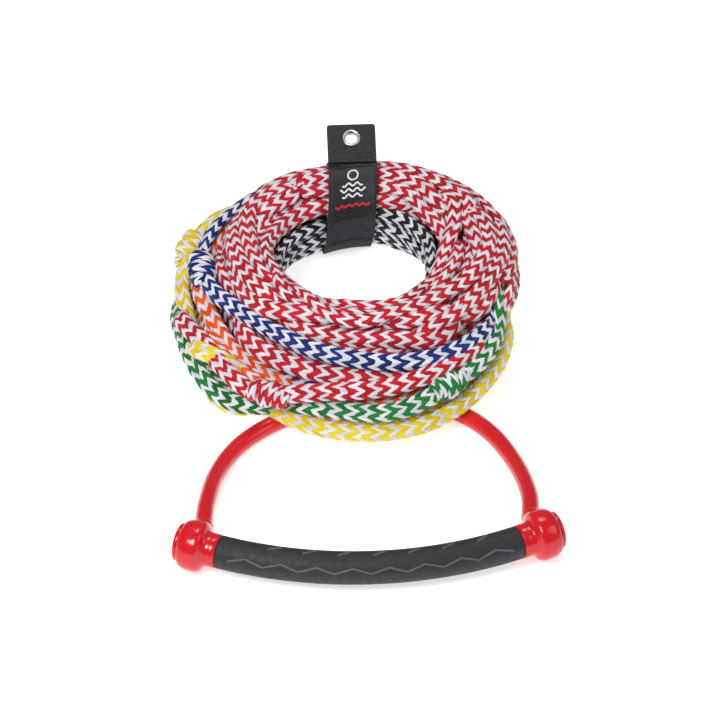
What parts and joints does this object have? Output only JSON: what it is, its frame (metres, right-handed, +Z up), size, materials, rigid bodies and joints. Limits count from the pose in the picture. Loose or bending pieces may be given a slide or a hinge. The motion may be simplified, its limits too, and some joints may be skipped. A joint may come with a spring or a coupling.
{
  "type": "tow rope handle",
  "caption": "Curved two-hand tow handle with a tubed bridle, its colour-sectioned braided ski rope wound in a ring, and a webbing rope keeper with a hanging eyelet.",
  "frame": {"origin": "middle of the underside of the handle, bridle and keeper together, on the surface that they lie on", "axes": "+X to the right along the handle, +Y from the grip towards the rope ring and its keeper, +Z up"},
  "size_m": [0.3144, 0.4666, 0.0979],
  "materials": {
    "grip_rubber": "matt moulded rubber with a raised zigzag pattern",
    "plug_rubber": "matt",
    "bar_aluminium": "satin drawn tube",
    "float_foam": "closed-cell foam",
    "cap_red": "gloss moulded plastic",
    "hose_red": "gloss soft hose",
    "bridle_cord": "braided cord",
    "webbing": "ribbed webbing",
    "label": "smooth woven label",
    "hook_and_loop": "hook-and-loop tape",
    "thread": "sewing thread",
    "grommet_metal": "polished nickel plate",
    "rope_red": "hollow braid, red and white",
    "rope_black": "hollow braid, black and white",
    "rope_orange": "hollow braid, orange and white",
    "rope_yellow": "hollow braid, yellow and white",
    "rope_green": "hollow braid, green and white",
    "rope_blue": "hollow braid, blue and white",
    "rope_violet": "hollow braid, violet and white"
  },
  "bodies": {
    "coil": {"rope_main": "rope_red", "rope_black": "rope_black", "rope_yellow": "rope_yellow", "rope_green": "rope_green", "rope_violet": "rope_violet", "rope_blue": "rope_blue", "rope_orange": "rope_orange", "rope_red_short": "rope_red", "knot_yellow": "rope_yellow", "knot_blue": "rope_blue", "knot_red": "rope_red", "knot_green": "rope_green", "keeper_strap": "webbing", "loop_patch": "hook_and_loop"},
    "keeper_flap": {"hook_patch": "hook_and_loop", "keeper_flap": "webbing", "label_panel": "label"},
    "keeper_tab": {"keeper_tab": "webbing", "tab_stitching": "thread", "grommet_front": "grommet_metal", "grommet_back": "grommet_metal"},
    "bridle": {"left_hose_rear": "hose_red", "left_rope_rear": "bridle_cord", "right_hose_rear": "hose_red", "right_rope_rear": "bridle_cord", "bridle_splice": "bridle_cord"},
    "handle": {"grip_sleeve": "grip_rubber", "bar_tube": "bar_aluminium", "float_core": "float_foam", "left_bar_plug": "plug_rubber", "left_end_cap": "cap_red", "left_end_disc": "cap_red", "left_stopper_knot": "bridle_cord", "left_bridle_hose": "hose_red", "left_bridle_rope": "bridle_cord", "right_bar_plug": "plug_rubber", "right_end_cap": "cap_red", "right_end_disc": "cap_red", "right_stopper_knot": "bridle_cord", "right_bridle_hose": "hose_red", "right_bridle_rope": "bridle_cord"}
  },
  "joints": [
    {"name": "bridle_swing", "type": "hinge", "parent": "coil", "child": "bridle", "pos_m": [0.009, -0.00187, 0.007], "axis": [0, 0, 1], "range_deg": [-10, 10]},
    {"name": "handle_lift", "type": "hinge", "parent": "bridle", "child": "handle", "pos_m": [0.009, -0.07987, 0.0146], "axis": [-1, 0, 0], "range_deg": [0, 40]},
    {"name": "keeper_flap_open", "type": "hinge", "parent": "coil", "child": "keeper_flap", "pos_m": [0.005, 0.19715, 0.07962], "axis": [-1, 0, 0], "range_deg": [0, 70]},
    {"name": "keeper_tab_flex", "type": "hinge", "parent": "coil", "child": "keeper_tab", "pos_m": [0.005, 0.20275, 0.0807], "axis": [1, 0, 0], "range_deg": [-20, 25], "stiffness_Nm_per_rad": 0.12}
  ]
}
